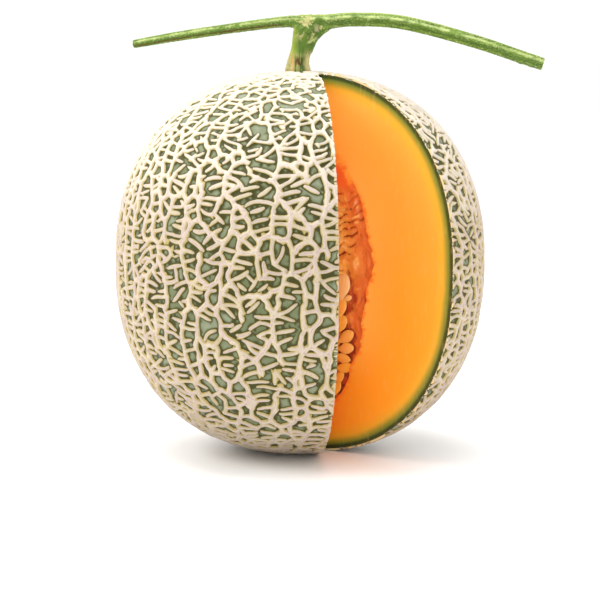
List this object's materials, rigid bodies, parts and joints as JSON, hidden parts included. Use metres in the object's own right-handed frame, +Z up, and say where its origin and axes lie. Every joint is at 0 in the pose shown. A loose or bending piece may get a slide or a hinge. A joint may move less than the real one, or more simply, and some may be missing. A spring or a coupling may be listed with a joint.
{
  "type": "netted musk melon with a wedge cut out",
  "caption": "Round netted musk melon standing on a small flat spot, with a wedge cut out that bares orange flesh and seeds, and a T-shaped stem.",
  "frame": {"origin": "middle of the flat spot that the fruit stands on, which is on the fruit's axis", "axes": "+Z up along the fruit's axis towards the stem; -Y is the front, and the wedge is cut out between the front and the right (+X); the stem's bar runs along X"},
  "size_m": [0.173, 0.1499, 0.1773],
  "materials": {
    "melon": "dry netted rind, moist orange flesh where it is cut",
    "seeds": "wet pulp with pale seeds",
    "stem": "dull ridged green vine with cut ends"
  },
  "bodies": {
    "root": {"melon": "melon", "seeds": "seeds", "stem": "stem"}
  },
  "joints": []
}
